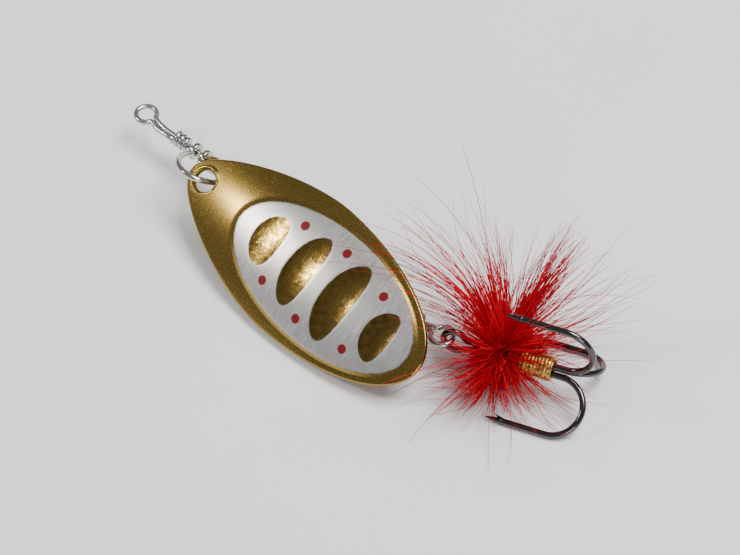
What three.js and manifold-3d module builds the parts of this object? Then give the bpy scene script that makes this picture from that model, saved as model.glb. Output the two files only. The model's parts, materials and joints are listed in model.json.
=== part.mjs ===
// Inline spinner: a long cambered blade on a wire stirrup, a threaded brass body and a dressed treble hook.
// Millimetres. Origin at the centre of the line eye, +X along the shaft towards the hook, +Z up.
import * as THREE from 'three';
import { mergeVertices } from 'three/addons/utils/BufferGeometryUtils.js';
import Module from 'manifold-3d';

// ---- shaft wire ----
const SHAFT_R = 0.4;
const SHAFT_SIDES = 10;
const EYE_R = 1.5; // centreline radius of the line eye
const FRONT_NECK = 6.6; // from the line eye's centre to where its wraps start
const REAR_X = 58.5; // centre of the rear loop, where the treble hangs
const REAR_R = 1.6; // centreline radius of the rear loop
const REAR_NECK = 4.6;
const LOOP_GAP = 20; // degrees each side of the neck where a loop is open
const NECK_BEND = 1.6; // from a loop's wire to where its neck straightens
const RETURN_Y = 0.85; // the wire's end lies this far beside the shaft before it wraps
const WRAP_LEAD = 0.7; // the first wrap starts this far ahead of the neck's end
const WRAP_TURNS = 3;
const WRAP_PITCH = 0.84;
const WRAP_R = 0.7; // centreline radius of the wraps, sunk a little into the shaft so they are one piece

// ---- clevis and blade ----
const CLEVIS_WIRE_R = 0.45;
const CLEVIS_ANGLE = 32.5; // degrees that the stirrup points above the horizontal, on the -Y side
const EAR_X = [10.0, 11.9];
const EAR_R = 1.35;
const EAR_HOLE_R = 0.58;
const EAR_THICKNESS = 0.7;
const HOLE_X = 16.8; // blade hole's centre along the shaft
const HOLE_RHO = 5.5; // and its distance from the shaft's axis
const BLADE_FRONT = 3.4; // from the hole's centre to the blade's front end
const BLADE_LENGTH = 47.6;
const BLADE_HALF_WIDTH = 10.5;
const BLADE_THICKNESS = 0.65;
const BLADE_CROWN = 2.3; // drop from the centre line to the widest edge
const BLADE_ARCH = 2.4; // rise of the centre line over its two ends
const SHOULDER_DIP = 0.32; // how much narrower than an ellipse the blade is at its front end
const SHOULDER_POWER = 1.5;
const BLADE_LEAN = 35; // degrees, the -Y edge lower
const BLADE_YAW = 4.3; // degrees, the tip towards -Y
const BLADE_LIFT = 0.6; // degrees, the tip away from the shaft
const RIM_R = 2.0; // centreline radius of the rolled rim of the hole
const RIM_HALF_WIDTH = 0.42;
const RIM_HALF_HEIGHT = 0.62;

// ---- threaded body ----
const BORE_R = 0.6;
const BEAD_END = 0.95; // near 1 a bead's ends close in on its bore, near 0 they stay flat
const BEAD_POWER = 0.6;
const BODY_X = [21.1, 41.1];
const BODY_R = 3.55;
const NOSE_LENGTH = 4.6;
const NOSE_R = [1.7, 2.0]; // at its front face and behind the chamfer
const TAIL_LENGTH = 3.9;
const TAIL_R = [1.9, 1.6];
const BODY_CHAMFER = 0.5;
const BODY_LAND = 0.6; // plain band between a cone and the nearest groove
const BODY_GROOVES = 4;
const GROOVE_DEPTH = 0.55;
const GROOVE_EDGE = 0.35; // half the ridge between two grooves
const GROOVE_SLOPE = 0.4;
const ROUND_SEGMENTS = 24;
const SMALL_SEGMENTS = 20;

// ---- treble hook, in its own frame: +X along the shank from the rear loop's centre ----
const TREBLE_YAW = 23; // degrees, towards +Y
const HOOK_WIRE_R = 0.475;
const HOOK_EYE_R = 1.45;
const HOOK_EYE_SET = 0.3; // front of the eye's wire behind the rear loop's centre
const HOOK_EYE_TURN = [-62, -352]; // degrees where the wire enters and leaves the eye
const HOOK_EYE_SPREAD = 0.92; // of the shanks' distance, that the eye's wire crosses sideways
const SHANK_OFFSET = 0.72; // each shank wire's distance from the treble's axis
const SHANK_START = 4.7;
const BEND_X = 18.15; // centre of the bends
const BEND_R = 4.15;
const POINT_X = 11.6; // where the round wire of each point leg ends
const POINT_LENGTH = 2.4;
const POINT_TIP_R = 0.05;
const BARB_LENGTH = 1.5;
const BARB_R = 0.26;
const BARB_ANGLE = 14; // degrees from the point leg
const HOOK_ANGLES = [210, 330, 90]; // degrees around the shank from +Y; the first two are one wire
const WIRE_SIDES = 8;

// ---- dressing ----
const HEAD_X = [6.4, 9.4];
const TINSEL_X = [11.6, 16.6];
const WRAP_BORE_R = 1.5;
const TUFT_ANGLES = [-8, 22, 60, 120, 158, 188, 270];
const TUFT_REACH = [10.5, 10.5, 11.5, 11.5, 10.5, 10.5, 3.6];
const TUFT_ROOT_X = 9.9;
const TUFT_ROOT_RHO = 2.9;
const TUFT_SWEEP = 3.2; // how far a tuft leans towards the bends
const TUFT_R = 1.1;

const RAD = Math.PI / 180;
const wasm = await Module();
wasm.setup();

// ---------------------------------------------------------------- solids
function toSolid(geometry) {
  const bare = geometry.clone();
  for (const name of ['normal', 'uv']) {
    bare.deleteAttribute(name);
  }
  const merged = mergeVertices(bare, 1e-4);
  const mesh = new wasm.Mesh({
    numProp: 3,
    vertProperties: new Float32Array(merged.attributes.position.array),
    triVerts: new Uint32Array(merged.index.array),
  });
  return new wasm.Manifold(mesh);
}

function toGeometry(solid) {
  const mesh = solid.getMesh();
  const geometry = new THREE.BufferGeometry();
  geometry.setAttribute('position', new THREE.BufferAttribute(new Float32Array(mesh.vertProperties), 3));
  geometry.setIndex(new THREE.BufferAttribute(new Uint32Array(mesh.triVerts), 1));
  return geometry;
}

function join(geometries) {
  return toGeometry(geometries.map(toSolid).reduce((sum, solid) => sum.add(solid)));
}

function cut(geometry, tool) {
  return toGeometry(toSolid(geometry).subtract(toSolid(tool)));
}

function circle(radius, sides) {
  const shape = new THREE.Shape();
  for (let i = 0; i < sides; i += 1) {
    const angle = (i / sides) * 2 * Math.PI;
    const move = i === 0 ? 'moveTo' : 'lineTo';
    shape[move](radius * Math.cos(angle), radius * Math.sin(angle));
  }
  shape.closePath();
  return shape;
}

function sweep(points, radius, sides, steps) {
  const path = new THREE.CatmullRomCurve3(points, false, 'centripetal');
  return new THREE.ExtrudeGeometry(circle(radius, sides), { steps, extrudePath: path, curveSegments: 1 });
}

// A turned piece about X: profile points are [x, radius].
function turned(profile, segments = ROUND_SEGMENTS) {
  const geometry = new THREE.LatheGeometry(profile.map(([x, r]) => new THREE.Vector2(r, x)), segments);
  return geometry.rotateZ(-Math.PI / 2);
}

function rod(x0, x1, radius, segments) {
  return turned([[x0, 0], [x0, radius], [x1, radius], [x1, 0]], segments);
}

// ---------------------------------------------------------------- shaft wire
// The loop lies in XY about (centreX, 0); side is -1 when its neck runs towards +X and +1 towards -X.
function loopWire(centreX, radius, neck, side) {
  const at = (back, y) => new THREE.Vector3(centreX - side * back, y, 0);
  const points = [at(neck, 0), at(radius + NECK_BEND, 0)];
  for (let angle = 180 - LOOP_GAP; angle >= -180 + LOOP_GAP; angle -= 20) {
    points.push(at(-radius * Math.cos(angle * RAD), radius * Math.sin(angle * RAD)));
  }
  points.push(at(radius + NECK_BEND, -RETURN_Y), at(neck - WRAP_LEAD, -RETURN_Y));
  return sweep(points, SHAFT_R, WIRE_SIDES, 30);
}

function wraps(centreX, neck, side) {
  const points = [];
  const perTurn = 8;
  for (let i = 0; i <= WRAP_TURNS * perTurn; i += 1) {
    const angle = (i / perTurn) * 2 * Math.PI + Math.PI;
    const x = centreX - side * (neck - WRAP_LEAD + (WRAP_PITCH * i) / perTurn);
    points.push(new THREE.Vector3(x, WRAP_R * Math.cos(angle), WRAP_R * Math.sin(angle)));
  }
  return sweep(points, SHAFT_R, 6, 30);
}

function shaftWire() {
  const overlap = 0.4;
  return join([
    rod(FRONT_NECK - overlap, REAR_X - REAR_NECK + overlap, SHAFT_R, SHAFT_SIDES),
    loopWire(0, EYE_R, FRONT_NECK, -1),
    wraps(0, FRONT_NECK, -1),
    loopWire(REAR_X, REAR_R, REAR_NECK, 1),
    wraps(REAR_X, REAR_NECK, 1),
  ]);
}

// ---------------------------------------------------------------- clevis
// The stirrup's plane holds the shaft; its points are [x, distance from the shaft's axis].
function clevis() {
  const earTop = 0.95;
  const outline = [
    [EAR_X[0], earTop], [10.1, 2.6], [10.8, 4.9], [12.2, 6.6], [14.0, 7.3], [15.7, 6.9], [HOLE_X, HOLE_RHO],
    [17.4, 4.1], [17.1, 2.8], [15.8, 1.92], [13.9, 1.8], [12.3, 1.7], [EAR_X[1], earTop],
  ];
  const bow = sweep(outline.map(([x, rho]) => new THREE.Vector3(x, rho, 0)), CLEVIS_WIRE_R, WIRE_SIDES, 36);
  const half = EAR_THICKNESS / 2;
  const ears = EAR_X.map((x) => {
    return turned([[x - half, EAR_HOLE_R], [x - half, EAR_R], [x + half, EAR_R], [x + half, EAR_HOLE_R],
      [x - half, EAR_HOLE_R]], SMALL_SEGMENTS);
  });
  const drill = rod(EAR_X[0] - 2, EAR_X[1] + 2, EAR_HOLE_R, SMALL_SEGMENTS);
  return cut(join([bow, ...ears]), drill);
}

// ---------------------------------------------------------------- blade
// Blade frame: origin at the hole, +X to the tip, +Y across, +Z on the convex side.
function bladeHalfWidth(theta) {
  const dip = SHOULDER_DIP * Math.max(0, Math.cos(theta)) ** SHOULDER_POWER;
  return BLADE_HALF_WIDTH * Math.sin(theta) * (1 - dip);
}

function bladeMiddle(t, s) {
  const half = BLADE_LENGTH / 2;
  const centre = half - BLADE_FRONT;
  const arch = (x) => BLADE_ARCH * (1 - ((x - centre) / half) ** 2);
  return arch(t) - arch(0) - BLADE_CROWN * (s / BLADE_HALF_WIDTH) ** 2;
}

function bladeSheet() {
  const rows = 26;
  const columns = 10;
  const positions = [];
  const index = [];
  const half = BLADE_LENGTH / 2;
  const ring = 2 * (columns + 1);
  const push = (t, s, side) => positions.push(t, s, bladeMiddle(t, s) + (side * BLADE_THICKNESS) / 2);
  for (let i = 1; i < rows; i += 1) {
    const theta = (i / rows) * Math.PI;
    const t = half - BLADE_FRONT - half * Math.cos(theta);
    const width = bladeHalfWidth(theta);
    for (let j = 0; j <= columns; j += 1) {
      push(t, width * ((2 * j) / columns - 1), 1);
    }
    for (let j = columns; j >= 0; j -= 1) {
      push(t, width * ((2 * j) / columns - 1), -1);
    }
  }
  for (let i = 0; i < rows - 2; i += 1) {
    for (let j = 0; j < ring; j += 1) {
      const a = i * ring + j;
      const b = i * ring + ((j + 1) % ring);
      index.push(a, a + ring, b, b, a + ring, b + ring);
    }
  }
  // Each end closes on one upper and one lower point; the two side edges of the ring take two triangles.
  const closeEnd = (first, t, flip) => {
    const upper = positions.length / 3;
    const lower = upper + 1;
    push(t, 0, 1);
    push(t, 0, -1);
    for (let j = 0; j < ring; j += 1) {
      const a = first + j;
      const b = first + ((j + 1) % ring);
      const faces = [[a, b, j < columns || j === ring - 1 ? upper : lower]];
      if (j === columns) {
        faces.push([a, lower, upper]);
      }
      if (j === ring - 1) {
        faces.push([a, upper, lower]);
      }
      for (const face of faces) {
        index.push(...(flip ? face.reverse() : face));
      }
    }
  };
  closeEnd(0, -BLADE_FRONT, false);
  closeEnd((rows - 2) * ring, BLADE_LENGTH - BLADE_FRONT, true);
  const sheet = new THREE.BufferGeometry();
  sheet.setAttribute('position', new THREE.Float32BufferAttribute(positions, 3));
  sheet.setIndex(index);
  return sheet;
}

function blade() {
  const upright = (geometry) => geometry.rotateY(-Math.PI / 2);
  const punch = upright(rod(-3, 3, RIM_R, ROUND_SEGMENTS));
  const section = [];
  for (let i = 0; i <= 10; i += 1) {
    const angle = (i / 10) * 2 * Math.PI;
    section.push([RIM_HALF_HEIGHT * Math.sin(angle), RIM_R + RIM_HALF_WIDTH * Math.cos(angle)]);
  }
  const rim = upright(turned(section));
  return join([cut(bladeSheet(), punch), rim]);
}

// ---------------------------------------------------------------- threaded body
function bead(x0, x1, radius) {
  const middle = (x0 + x1) / 2;
  const half = (x1 - x0) / 2;
  const profile = [[x0, BORE_R]];
  const steps = 6;
  for (let i = 0; i <= steps; i += 1) {
    const u = -1 + (2 * i) / steps;
    profile.push([middle + half * u, BORE_R + (radius - BORE_R) * (1 - BEAD_END * u * u) ** BEAD_POWER]);
  }
  profile.push([x1, BORE_R], [x0, BORE_R]);
  return turned(profile, SMALL_SEGMENTS);
}

// Turned brass barrel: a cone at each end and a row of round grooves between two plain bands.
function brassBody() {
  const [x0, x1] = BODY_X;
  const bandStart = x0 + NOSE_LENGTH + BODY_LAND;
  const bandEnd = x1 - TAIL_LENGTH - BODY_LAND;
  const pitch = (bandEnd - bandStart) / BODY_GROOVES;
  const profile = [[x0, BORE_R], [x0, NOSE_R[0]], [x0 + BODY_CHAMFER, NOSE_R[1]], [x0 + NOSE_LENGTH, BODY_R]];
  for (let i = 0; i < BODY_GROOVES; i += 1) {
    const from = bandStart + i * pitch + GROOVE_EDGE;
    const to = bandStart + (i + 1) * pitch - GROOVE_EDGE;
    profile.push([from, BODY_R], [from + GROOVE_SLOPE, BODY_R - GROOVE_DEPTH]);
    profile.push([to - GROOVE_SLOPE, BODY_R - GROOVE_DEPTH], [to, BODY_R]);
  }
  profile.push([x1 - TAIL_LENGTH, BODY_R], [x1 - BODY_CHAMFER, TAIL_R[0]], [x1, TAIL_R[1]]);
  profile.push([x1, BORE_R], [x0, BORE_R]);
  return turned(profile);
}

// ---------------------------------------------------------------- treble hook
function around(x, rho, angle) {
  return new THREE.Vector3(x, rho * Math.cos(angle * RAD), rho * Math.sin(angle * RAD));
}

// Centreline of one hook from the shank to where its point starts.
function hookLine(angle) {
  const line = [];
  const outer = SHANK_OFFSET + 2 * BEND_R;
  for (let x = SHANK_START; x < BEND_X - 1.5; x += 2.6) {
    line.push(around(x, SHANK_OFFSET, angle));
  }
  for (let turn = 0; turn <= 180; turn += 20) {
    const x = BEND_X + BEND_R * Math.sin(turn * RAD);
    line.push(around(x, SHANK_OFFSET + BEND_R * (1 - Math.cos(turn * RAD)), angle));
  }
  for (let x = BEND_X - 2.2; x > POINT_X; x -= 2.2) {
    line.push(around(x, outer, angle));
  }
  line.push(around(POINT_X, outer, angle));
  return line;
}

// Tapered point, with its barb on the side that faces the shank.
function hookPoint(angle) {
  const outer = SHANK_OFFSET + 2 * BEND_R;
  const overlap = 0.2;
  const spike = (x0, x1, radius, sides) => {
    return turned([[x1, 0], [x1, POINT_TIP_R], [x0, radius], [x0 + overlap, radius], [x0 + overlap, 0]], sides);
  };
  const barb = spike(0, -BARB_LENGTH, BARB_R, 6);
  barb.rotateZ(-BARB_ANGLE * RAD).translate(POINT_X + overlap, -HOOK_WIRE_R, 0);
  const tip = spike(0, -POINT_LENGTH, HOOK_WIRE_R, WIRE_SIDES).translate(POINT_X, 0, 0);
  return join([tip, barb]).translate(0, outer, 0).rotateX(angle * RAD);
}

// Centreline of the eye, from one shank across to the other.
function eyeRing() {
  const centre = HOOK_EYE_SET + HOOK_EYE_R;
  const side = SHANK_OFFSET * Math.cos(30 * RAD);
  const drop = -SHANK_OFFSET * Math.sin(30 * RAD);
  const [first, last] = HOOK_EYE_TURN;
  const steps = 16;
  const points = [new THREE.Vector3(SHANK_START - 0.9, -side, drop - 0.15)];
  for (let i = 0; i <= steps; i += 1) {
    const along = i / steps;
    const angle = (first + (last - first) * along) * RAD;
    const x = centre + HOOK_EYE_R * Math.cos(angle);
    points.push(new THREE.Vector3(x, side * (2 * along - 1) * HOOK_EYE_SPREAD, HOOK_EYE_R * Math.sin(angle)));
  }
  points.push(new THREE.Vector3(SHANK_START - 0.6, side, drop + 0.1));
  return points;
}

function doubleHook() {
  const [left, right] = HOOK_ANGLES;
  const line = [...hookLine(left).reverse(), ...eyeRing(), ...hookLine(right)];
  return join([sweep(line, HOOK_WIRE_R, WIRE_SIDES, 124), hookPoint(left), hookPoint(right)]);
}

function thirdHook() {
  const angle = HOOK_ANGLES[2];
  return join([sweep(hookLine(angle), HOOK_WIRE_R, WIRE_SIDES, 50), hookPoint(angle)]);
}

// ---------------------------------------------------------------- dressing
function threadHead() {
  const [x0, x1] = HEAD_X;
  const profile = [[x0, WRAP_BORE_R], [x0, 1.8], [x0 + 0.9, 2.3], [x1 - 0.5, 2.5], [x1, 2.2], [x1, WRAP_BORE_R],
    [x0, WRAP_BORE_R]];
  return turned(profile, SMALL_SEGMENTS);
}

function tinselWrap() {
  const [x0, x1] = TINSEL_X;
  const profile = [[x0, WRAP_BORE_R], [x0, 1.75], [x0 + 0.6, 1.95], [x1 - 0.6, 1.95], [x1, 1.75],
    [x1, WRAP_BORE_R], [x0, WRAP_BORE_R]];
  return turned(profile, SMALL_SEGMENTS);
}

// A tuft is a spindle from the thread head out and back, one for each stand of hair.
function tuft(angle, reach) {
  const start = new THREE.Vector3(TUFT_ROOT_X, TUFT_ROOT_RHO, 0);
  const end = new THREE.Vector3(TUFT_ROOT_X + TUFT_SWEEP, reach, 0);
  const length = start.distanceTo(end);
  const fat = Math.min(TUFT_R, length / 3);
  const spindle = turned([[0, 0], [0, 0.35], [length * 0.55, fat], [length, 0.3], [length, 0]], 10);
  const heading = Math.atan2(end.y - start.y, end.x - start.x);
  spindle.rotateZ(heading).translate(start.x, start.y, 0);
  return spindle.rotateX(angle * RAD);
}

// ---------------------------------------------------------------- assembly
const finishes = {
  steel: { color: 0xc9cbcc, roughness: 0.22, metalness: 1 },
  nickel: { color: 0xb9b6b0, roughness: 0.25, metalness: 1 },
  brass: { color: 0xb58a2c, roughness: 0.28, metalness: 1 },
  gold: { color: 0xa9842a, roughness: 0.25, metalness: 1 },
  red_glass: { color: 0xa30c12, roughness: 0.1, metalness: 0 },
  black_nickel: { color: 0x2b2724, roughness: 0.18, metalness: 1 },
  thread: { color: 0xc4101a, roughness: 0.7, metalness: 0 },
  tinsel: { color: 0xa88a34, roughness: 0.35, metalness: 1 },
  hair: { color: 0xd0131c, roughness: 0.6, metalness: 0 },
};

const spinner = new THREE.Group();

function add(name, geometry, finish, parent = spinner) {
  const mesh = new THREE.Mesh(geometry, new THREE.MeshStandardMaterial(finishes[finish]));
  mesh.name = name;
  parent.add(mesh);
  return mesh;
}

add('shaft_wire', shaftWire(), 'steel');

const clevisMesh = add('clevis', clevis(), 'nickel');
clevisMesh.rotation.x = (180 - CLEVIS_ANGLE) * RAD;

const bladeMesh = add('blade', blade(), 'gold');
bladeMesh.position.set(
  HOLE_X, -HOLE_RHO * Math.cos(CLEVIS_ANGLE * RAD), HOLE_RHO * Math.sin(CLEVIS_ANGLE * RAD),
);
bladeMesh.rotation.set(BLADE_LEAN * RAD, -BLADE_LIFT * RAD, -BLADE_YAW * RAD, 'XYZ');

const beads = [
  ['bearing_bead_front', 12.55, 14.65, 1.2, 'brass'],
  ['bearing_bead_rear', 14.9, 17.0, 1.2, 'brass'],
  ['front_red_bead', 17.3, 20.8, 2.3, 'red_glass'],
  ['rear_red_bead', 41.4, 45.0, 2.3, 'red_glass'],
  ['rear_brass_bead', 45.3, 48.0, 1.8, 'brass'],
  ['tail_red_bead', 48.3, 50.7, 1.5, 'red_glass'],
];
for (const [name, x0, x1, radius, finish] of beads) {
  add(name, bead(x0, x1, radius), finish);
}
add('brass_body', brassBody(), 'brass');

const treble = new THREE.Group();
treble.position.set(REAR_X, 0, 0);
treble.rotation.z = TREBLE_YAW * RAD;
spinner.add(treble);
add('double_hook', doubleHook(), 'black_nickel', treble);
add('third_hook', thirdHook(), 'black_nickel', treble);
add('thread_head', threadHead(), 'thread', treble);
add('tinsel_wrap', tinselWrap(), 'tinsel', treble);
TUFT_ANGLES.forEach((angle, i) => {
  add(`hair_tuft_${i + 1}`, tuft(angle, TUFT_REACH[i]), 'hair', treble);
});

export default spinner;
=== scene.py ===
"""Looks of an inline spinner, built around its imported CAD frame. +X runs along the shaft, +Z is up.
Shapes are worked out in millimetres and written to the meshes in metres."""
import json
import math
import random

import bmesh
import bpy
import numpy as np
from mathutils import Matrix, Vector


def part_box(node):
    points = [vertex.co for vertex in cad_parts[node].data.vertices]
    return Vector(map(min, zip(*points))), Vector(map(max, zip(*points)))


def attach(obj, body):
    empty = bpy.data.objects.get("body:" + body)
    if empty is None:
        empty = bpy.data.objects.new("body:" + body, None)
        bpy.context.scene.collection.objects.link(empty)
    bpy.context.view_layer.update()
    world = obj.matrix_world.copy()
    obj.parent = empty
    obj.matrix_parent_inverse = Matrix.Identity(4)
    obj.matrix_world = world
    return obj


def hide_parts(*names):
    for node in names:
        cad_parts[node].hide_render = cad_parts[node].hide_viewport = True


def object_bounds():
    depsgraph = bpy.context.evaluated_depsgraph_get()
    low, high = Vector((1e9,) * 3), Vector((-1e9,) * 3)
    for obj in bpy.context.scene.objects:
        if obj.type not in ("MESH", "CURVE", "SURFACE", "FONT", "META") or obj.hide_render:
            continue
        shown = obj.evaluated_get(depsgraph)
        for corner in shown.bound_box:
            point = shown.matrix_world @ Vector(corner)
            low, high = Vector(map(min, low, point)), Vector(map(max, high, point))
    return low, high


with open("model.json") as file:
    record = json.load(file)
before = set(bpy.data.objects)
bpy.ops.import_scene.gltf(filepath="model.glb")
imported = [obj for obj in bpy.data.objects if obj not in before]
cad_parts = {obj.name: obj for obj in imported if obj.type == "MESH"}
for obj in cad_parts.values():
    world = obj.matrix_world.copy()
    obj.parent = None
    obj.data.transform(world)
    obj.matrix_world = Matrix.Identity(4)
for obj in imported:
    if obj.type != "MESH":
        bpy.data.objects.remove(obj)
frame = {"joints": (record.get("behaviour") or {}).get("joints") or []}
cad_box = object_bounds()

MM = 0.001
SAME_POINT = 1e-7  # metres
NO_LENGTH = 1e-8  # metres

joint_at = {j["name"]: Vector(j["pos_m"]) / MM for j in frame["joints"]}
hole = joint_at["blade_flare"]
rear = joint_at["treble_swing"]
floor_z = cad_box[0].z / MM


# ---------------------------------------------------------------- camera, light and floor
VIEW_AZIMUTH = 44
VIEW_ELEVATION = 51
FRAME_WIDTH = 104
CAMERA_DISTANCE = 900
CAMERA_CLIP = (0.01, 10)  # metres
AIM = Vector((44.0, 0.6, 0))
# name, azimuth, elevation, distance and size in metres, watts, colour
LIGHTS = (("key", -52, 39, 0.6, (0.10, 0.08), 1.3, (1, 0.98, 0.95)),
          ("top", 140, 66, 0.8, (0.5, 0.4), 8.5, (0.97, 0.98, 1)),
          ("front", 60, 22, 0.7, (0.3, 0.12), 1.2, (1, 1, 1)))
WORLD_COLOUR = (0.92, 0.95, 1.0, 1)
WORLD_STRENGTH = 0.28
FLOOR_REACH = 1.6  # metres
FLOOR_DROP = 0.00005  # metres


def direction(azimuth, elevation):
    a, e = math.radians(azimuth), math.radians(elevation)
    return Vector((math.sin(a) * math.cos(e), -math.cos(a) * math.cos(e), math.sin(e)))


def make_camera():
    data = bpy.data.cameras.new("camera")
    camera = bpy.data.objects.new("camera", data)
    bpy.context.scene.collection.objects.link(camera)
    back = direction(VIEW_AZIMUTH, VIEW_ELEVATION)
    camera.location = (AIM + back * CAMERA_DISTANCE) * MM
    camera.rotation_euler = (-back).to_track_quat("-Z", "Y").to_euler()
    data.lens = data.sensor_width * CAMERA_DISTANCE / FRAME_WIDTH
    data.clip_start, data.clip_end = CAMERA_CLIP
    bpy.context.scene.camera = camera


def area_light(name, azimuth, elevation, distance, size, power, tint):
    data = bpy.data.lights.new(name, "AREA")
    data.shape = "RECTANGLE"
    data.size, data.size_y = size
    data.energy = power
    data.color = tint
    light = bpy.data.objects.new(name, data)
    towards = direction(azimuth, elevation)
    light.location = (AIM * MM) + towards * distance
    light.rotation_euler = (-towards).to_track_quat("-Z", "Y").to_euler()
    bpy.context.scene.collection.objects.link(light)


def make_lights():
    for light in LIGHTS:
        area_light(*light)
    world = bpy.data.worlds.new("studio")
    bpy.context.scene.world = world
    world.use_nodes = True
    background = world.node_tree.nodes["Background"]
    background.inputs["Color"].default_value = WORLD_COLOUR
    background.inputs["Strength"].default_value = WORLD_STRENGTH


def make_floor(material):
    mesh = bpy.data.meshes.new("floor")
    corners = ((-1, -1, 0), (1, -1, 0), (1, 1, 0), (-1, 1, 0))
    mesh.from_pydata([Vector(c) * FLOOR_REACH for c in corners], [], [(0, 1, 2, 3)])
    mesh.materials.append(material)
    floor = bpy.data.objects.new("floor", mesh)
    floor.location.z = cad_box[0].z - FLOOR_DROP
    bpy.context.scene.collection.objects.link(floor)


# ---------------------------------------------------------------- mesh helpers
TINY = 1e-9
END_BULGE = 0.25  # of the tube's radius
CORNER_SHARE = 0.45  # the most of an edge that one rounded corner may take


def spline(points, steps):
    """Smooth curve through the points, a centripetal Catmull-Rom spline with steps samples a span."""
    knots = [Vector(p) for p in points]
    knots = [2 * knots[0] - knots[1], *knots, 2 * knots[-1] - knots[-2]]
    curve = []
    for p0, p1, p2, p3 in zip(knots, knots[1:], knots[2:], knots[3:]):
        t1 = math.sqrt(max((p1 - p0).length, TINY))
        t2 = t1 + math.sqrt(max((p2 - p1).length, TINY))
        t3 = t2 + math.sqrt(max((p3 - p2).length, TINY))
        for k in range(steps):
            t = t1 + (t2 - t1) * k / steps
            a1 = p0 * (t1 - t) / t1 + p1 * t / t1
            a2 = p1 * (t2 - t) / (t2 - t1) + p2 * (t - t1) / (t2 - t1)
            a3 = p2 * (t3 - t) / (t3 - t2) + p3 * (t - t2) / (t3 - t2)
            b1 = a1 * (t2 - t) / t2 + a2 * t / t2
            b2 = a2 * (t3 - t) / (t3 - t1) + a3 * (t - t1) / (t3 - t1)
            curve.append(b1 * (t2 - t) / (t2 - t1) + b2 * (t - t1) / (t2 - t1))
    curve.append(knots[-2])
    return curve


def tube(path, radius, sides, flat=1.0, facing=None):
    """Closed tube along a path. radius is a number, or a function of the position from 0 to 1. flat
    is the section's depth over its width, and facing gives the depth's direction at a point."""
    last = len(path) - 1
    tangents = []
    for i in range(last + 1):
        tangents.append((path[min(i + 1, last)] - path[max(i - 1, 0)]).normalized())
    normal = tangents[0].orthogonal()
    verts, faces = [], []
    for i, (point, tangent) in enumerate(zip(path, tangents)):
        r = radius(i / last) if callable(radius) else radius
        if facing:
            normal = facing(point)
        normal = (normal - tangent * normal.dot(tangent)).normalized()
        across = tangent.cross(normal)
        for k in range(sides):
            a = 2 * math.pi * k / sides
            verts.append(point + (across * math.cos(a) + normal * (flat * math.sin(a))) * r)
    for i in range(last):
        for k in range(sides):
            a, b = i * sides + k, i * sides + (k + 1) % sides
            faces.append((a, b, b + sides, a + sides))
    for first, end, out in ((0, path[0], -tangents[0]), (last * sides, path[-1], tangents[-1])):
        hub = len(verts)
        verts.append(end + out * (END_BULGE * (verts[first] - end).length))
        for k in range(sides):
            a, b = first + k, first + (k + 1) % sides
            faces.append((b, a, hub) if first == 0 else (a, b, hub))
    return verts, faces


def lathe(profile, segments):
    """Turned shell about X; the profile is a loop of (x, radius) points."""
    verts, faces = [], []
    count = len(profile)
    for k in range(segments):
        a = 2 * math.pi * k / segments
        for x, r in profile:
            verts.append(Vector((x, r * math.cos(a), r * math.sin(a))))
    for k in range(segments):
        near, far = k * count, ((k + 1) % segments) * count
        for i in range(count):
            j = (i + 1) % count
            faces.append((near + i, near + j, far + j, far + i))
    return verts, faces


def rounded(profile, radius, steps=4):
    """The closed profile with each corner turned into a small arc."""
    points = [Vector(p) for p in profile]
    result = []
    for i, corner in enumerate(points):
        before, after = points[i - 1], points[(i + 1) % len(points)]
        most = CORNER_SHARE * min((before - corner).length, (after - corner).length)
        start = corner + (before - corner).normalized() * min(radius, most)
        end = corner + (after - corner).normalized() * min(radius, most)
        for k in range(steps + 1):
            u = k / steps
            result.append(tuple(start * (1 - u) ** 2 + corner * (2 * u * (1 - u)) + end * u**2))
    return result


def around(x, rho, angle):
    """The point that far from the X axis, and that many degrees round it from +Y."""
    a = math.radians(angle)
    return Vector((x, rho * math.cos(a), rho * math.sin(a)))


def add_piece(name, mesh, material, body, replaced):
    """Puts a finished mesh in the scene as one piece of the visual model."""
    mesh.materials.append(material)
    mesh.shade_smooth()
    piece = bpy.data.objects.new(name, mesh)
    bpy.context.scene.collection.objects.link(piece)
    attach(piece, body)
    if replaced:
        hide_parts(*replaced)
    return piece


def make_piece(name, shells, material, body, replaced, place=None):
    """One smooth piece from several shells of (verts, faces), put in the row frame by place."""
    verts, faces = [], []
    for shell_verts, shell_faces in shells:
        first = len(verts)
        verts.extend(shell_verts)
        faces.extend([tuple(first + i for i in face) for face in shell_faces])
    matrix = Matrix.Scale(MM, 4) @ (place or Matrix.Identity(4))
    mesh = bpy.data.meshes.new(name)
    mesh.from_pydata([matrix @ v for v in verts], [], faces)
    clean = bmesh.new()
    clean.from_mesh(mesh)
    bmesh.ops.remove_doubles(clean, verts=clean.verts, dist=SAME_POINT)
    bmesh.ops.dissolve_degenerate(clean, dist=NO_LENGTH, edges=clean.edges)
    bmesh.ops.recalc_face_normals(clean, faces=clean.faces)
    clean.to_mesh(mesh)
    clean.free()
    return add_piece(name, mesh, material, body, replaced)


# ---------------------------------------------------------------- materials
COLOUR_A, COLOUR_B, COLOUR_OUT = 6, 7, 2  # the Mix node's sockets for colours
NUMBER_A, NUMBER_B = 2, 3  # and for numbers


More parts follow.
